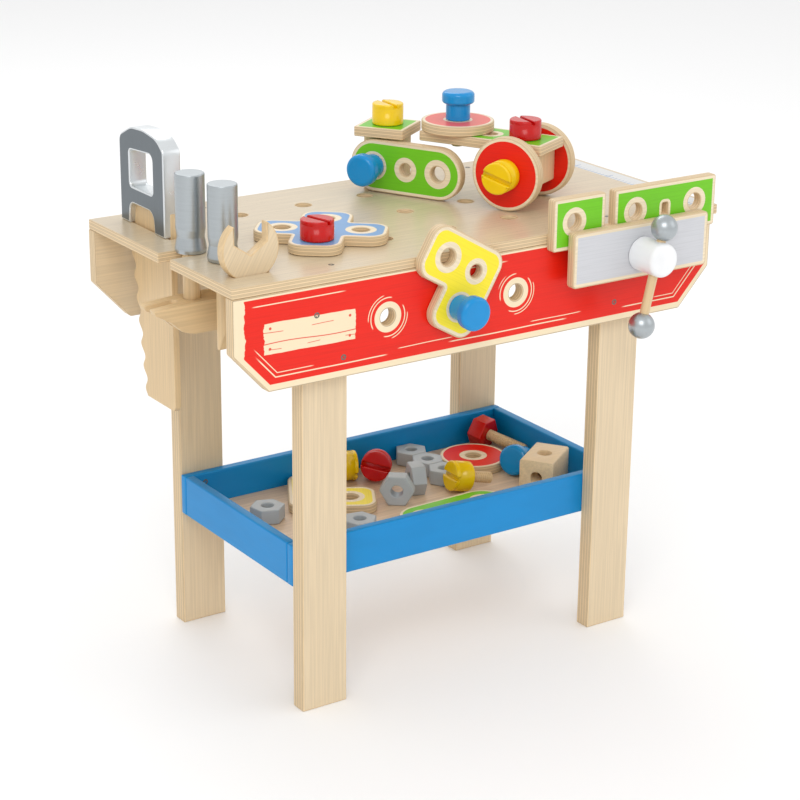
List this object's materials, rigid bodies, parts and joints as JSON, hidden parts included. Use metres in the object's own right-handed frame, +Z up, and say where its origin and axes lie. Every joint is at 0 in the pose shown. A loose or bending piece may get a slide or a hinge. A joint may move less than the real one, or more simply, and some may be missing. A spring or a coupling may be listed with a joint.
{
  "type": "toy workbench",
  "caption": "Toy wooden workbench: parts tray, screw vise, mitre guide, lift-out hand tools, and bolt-together plates, wheels, blocks, nuts and bolts.",
  "frame": {"origin": "centre of the bench's footprint box, on the floor", "axes": "+X towards the vise end along the worktop, +Y towards the back, +Z up"},
  "size_m": [0.5276, 0.307, 0.4956],
  "materials": {
    "birch_ply": "clear-lacquered plywood with visible layers on its edges",
    "bare_wood": "smooth bare wood",
    "red_paint": "painted wood, satin",
    "blue_paint": "painted wood, satin to gloss",
    "green_paint": "printed wood, satin",
    "yellow_paint": "painted wood, satin to gloss",
    "pale_blue_paint": "printed wood, satin",
    "silver_paint": "silver-painted wood",
    "light_grey_paint": "painted wood, satin",
    "grey_paint": "painted wood, matt",
    "white_paint": "painted wood, gloss"
  },
  "bodies": {
    "bench": {"worktop": "birch_ply", "front_apron": "red_paint", "back_apron": "birch_ply", "leg_front_left": "birch_ply", "leg_front_right": "birch_ply", "leg_back_left": "birch_ply", "leg_back_right": "birch_ply", "tray_front": "blue_paint", "tray_back": "blue_paint", "tray_left": "blue_paint", "tray_right": "blue_paint", "tray_floor": "birch_ply", "mitre_plate": "green_paint", "cross_bolt": "red_paint", "boot_bolt": "blue_paint"},
    "vise_jaw": {"vise_jaw": "light_grey_paint"},
    "vise_screw": {"vise_screw": "white_paint"},
    "vise_bar": {"vise_bar": "bare_wood", "vise_ball_upper": "silver_paint", "vise_ball_lower": "silver_paint"},
    "saw": {"saw_handle": "silver_paint", "saw_blade": "bare_wood"},
    "hammer": {"hammer_grip": "silver_paint", "hammer_shaft": "bare_wood", "hammer_head": "bare_wood"},
    "screwdriver": {"screwdriver_grip": "silver_paint", "screwdriver_shaft": "bare_wood"},
    "wrench": {"wrench": "bare_wood"},
    "cross_plate": {"cross_plate": "pale_blue_paint"},
    "boot_plate": {"boot_plate": "yellow_paint"},
    "engine": {"engine_strip": "green_paint", "engine_strip_bolt": "blue_paint", "engine_rear_block": "bare_wood", "engine_square_bolt": "yellow_paint", "engine_long_plate": "green_paint", "engine_disc_bolt": "blue_paint", "engine_long_bolt": "red_paint", "engine_axle_block": "bare_wood", "engine_wheel_near_bolt": "yellow_paint", "engine_wheel_far_bolt": "yellow_paint"},
    "engine_square_plate": {"engine_square_plate": "green_paint"},
    "engine_disc": {"engine_disc": "red_paint"},
    "engine_wheel_near": {"engine_wheel_near": "red_paint"},
    "engine_wheel_far": {"engine_wheel_far": "red_paint"},
    "tray_ring": {"tray_ring": "red_paint"},
    "tray_green_strip": {"tray_green_strip": "green_paint"},
    "tray_yellow_plate": {"tray_yellow_plate": "yellow_paint"},
    "tray_hex_bolt": {"tray_hex_bolt": "red_paint"},
    "tray_yellow_bolt": {"tray_yellow_bolt": "yellow_paint"},
    "tray_red_bolt": {"tray_red_bolt": "red_paint"},
    "tray_yellow_bolt_rear": {"tray_yellow_bolt_rear": "yellow_paint"},
    "tray_blue_bolt": {"tray_blue_bolt": "blue_paint"},
    "tray_block": {"tray_block": "bare_wood"},
    "tray_nut_1": {"tray_nut_1": "grey_paint"},
    "tray_nut_2": {"tray_nut_2": "grey_paint"},
    "tray_nut_3": {"tray_nut_3": "grey_paint"},
    "tray_nut_4": {"tray_nut_4": "grey_paint"},
    "tray_nut_5": {"tray_nut_5": "grey_paint"},
    "tray_nut_upright_left": {"tray_nut_upright_left": "grey_paint"},
    "tray_nut_upright_right": {"tray_nut_upright_right": "grey_paint"}
  },
  "joints": [
    {"name": "vise_jaw_slide", "type": "slide", "parent": "bench", "child": "vise_jaw", "axis": [0, -1, 0], "range_m": [0, 0.024]},
    {"name": "vise_screw_turn", "type": "hinge", "parent": "vise_jaw", "child": "vise_screw", "pos_m": [0.1592, -0.12061, 0.374], "axis": [0, -1, 0], "range_deg": [0, 1440.5]},
    {"name": "vise_bar_slide", "type": "slide", "parent": "vise_screw", "child": "vise_bar", "axis": [0.2351, 0, 0.972], "range_m": [0, 0.033]},
    {"name": "saw_lift", "type": "slide", "parent": "bench", "child": "saw", "axis": [0, 0, 1], "range_m": [0, 0.165]},
    {"name": "hammer_slide", "type": "slide", "parent": "bench", "child": "hammer", "axis": [-1, 0, 0], "range_m": [0, 0.06]},
    {"name": "screwdriver_lift", "type": "slide", "parent": "bench", "child": "screwdriver", "axis": [0, 0, 1], "range_m": [0, 0.085]},
    {"name": "wrench_lift", "type": "slide", "parent": "bench", "child": "wrench", "axis": [0, 0, 1], "range_m": [0, 0.078]},
    {"name": "cross_plate_pivot", "type": "hinge", "parent": "bench", "child": "cross_plate", "pos_m": [-0.1276, -0.03681, 0.4048], "axis": [0, 0, 1], "range_deg": [-20, 30]},
    {"name": "boot_plate_pivot", "type": "hinge", "parent": "bench", "child": "boot_plate", "pos_m": [-0.0314, -0.10581, 0.3525], "axis": [0, -1, 0], "continuous": true},
    {"name": "engine_lift", "type": "slide", "parent": "bench", "child": "engine", "axis": [0, 0, 1], "range_m": [0, 0.06]},
    {"name": "engine_square_plate_pivot", "type": "hinge", "parent": "engine", "child": "engine_square_plate", "pos_m": [0.04348, 0.11415, 0.4552], "axis": [0, 0, 1], "continuous": true},
    {"name": "engine_disc_spin", "type": "hinge", "parent": "engine", "child": "engine_disc", "pos_m": [0.0849, 0.06006, 0.4646], "axis": [0, 0, 1], "continuous": true},
    {"name": "engine_wheel_near_spin", "type": "hinge", "parent": "engine", "child": "engine_wheel_near", "pos_m": [0.08611, -0.01677, 0.4338], "axis": [0.891, 0.454, 0], "continuous": true},
    {"name": "engine_wheel_far_spin", "type": "hinge", "parent": "engine", "child": "engine_wheel_far", "pos_m": [0.14634, 0.01392, 0.4338], "axis": [0.891, 0.454, 0], "continuous": true},
    {"name": "tray_ring_lift", "type": "slide", "parent": "bench", "child": "tray_ring", "axis": [0, 0, 1], "range_m": [0, 0.04]},
    {"name": "tray_green_strip_lift", "type": "slide", "parent": "bench", "child": "tray_green_strip", "axis": [0, 0, 1], "range_m": [0, 0.04]},
    {"name": "tray_yellow_plate_lift", "type": "slide", "parent": "bench", "child": "tray_yellow_plate", "axis": [0, 0, 1], "range_m": [0, 0.04]},
    {"name": "tray_hex_bolt_lift", "type": "slide", "parent": "bench", "child": "tray_hex_bolt", "axis": [0, 0, 1], "range_m": [0, 0.04]},
    {"name": "tray_yellow_bolt_lift", "type": "slide", "parent": "bench", "child": "tray_yellow_bolt", "axis": [0, 0, 1], "range_m": [0, 0.04]},
    {"name": "tray_red_bolt_lift", "type": "slide", "parent": "bench", "child": "tray_red_bolt", "axis": [0, 0, 1], "range_m": [0, 0.04]},
    {"name": "tray_yellow_bolt_rear_lift", "type": "slide", "parent": "tray_yellow_plate", "child": "tray_yellow_bolt_rear", "axis": [0, 0, 1], "range_m": [0, 0.04]},
    {"name": "tray_blue_bolt_lift", "type": "slide", "parent": "bench", "child": "tray_blue_bolt", "axis": [0, 0, 1], "range_m": [0, 0.04]},
    {"name": "tray_block_lift", "type": "slide", "parent": "bench", "child": "tray_block", "axis": [0, 0, 1], "range_m": [0, 0.04]},
    {"name": "tray_nut_1_lift", "type": "slide", "parent": "bench", "child": "tray_nut_1", "axis": [0, 0, 1], "range_m": [0, 0.04]},
    {"name": "tray_nut_2_lift", "type": "slide", "parent": "bench", "child": "tray_nut_2", "axis": [0, 0, 1], "range_m": [0, 0.04]},
    {"name": "tray_nut_3_lift", "type": "slide", "parent": "bench", "child": "tray_nut_3", "axis": [0, 0, 1], "range_m": [0, 0.04]},
    {"name": "tray_nut_4_lift", "type": "slide", "parent": "bench", "child": "tray_nut_4", "axis": [0, 0, 1], "range_m": [0, 0.04]},
    {"name": "tray_nut_5_lift", "type": "slide", "parent": "bench", "child": "tray_nut_5", "axis": [0, 0, 1], "range_m": [0, 0.04]},
    {"name": "tray_nut_upright_left_lift", "type": "slide", "parent": "bench", "child": "tray_nut_upright_left", "axis": [0, 0, 1], "range_m": [0, 0.04]},
    {"name": "tray_nut_upright_right_lift", "type": "slide", "parent": "bench", "child": "tray_nut_upright_right", "axis": [0, 0, 1], "range_m": [0, 0.04]}
  ],
  "couplings": [
    {"joint": "vise_screw_turn", "follows": "vise_jaw_slide", "rad_per_m": 1047.2}
  ]
}
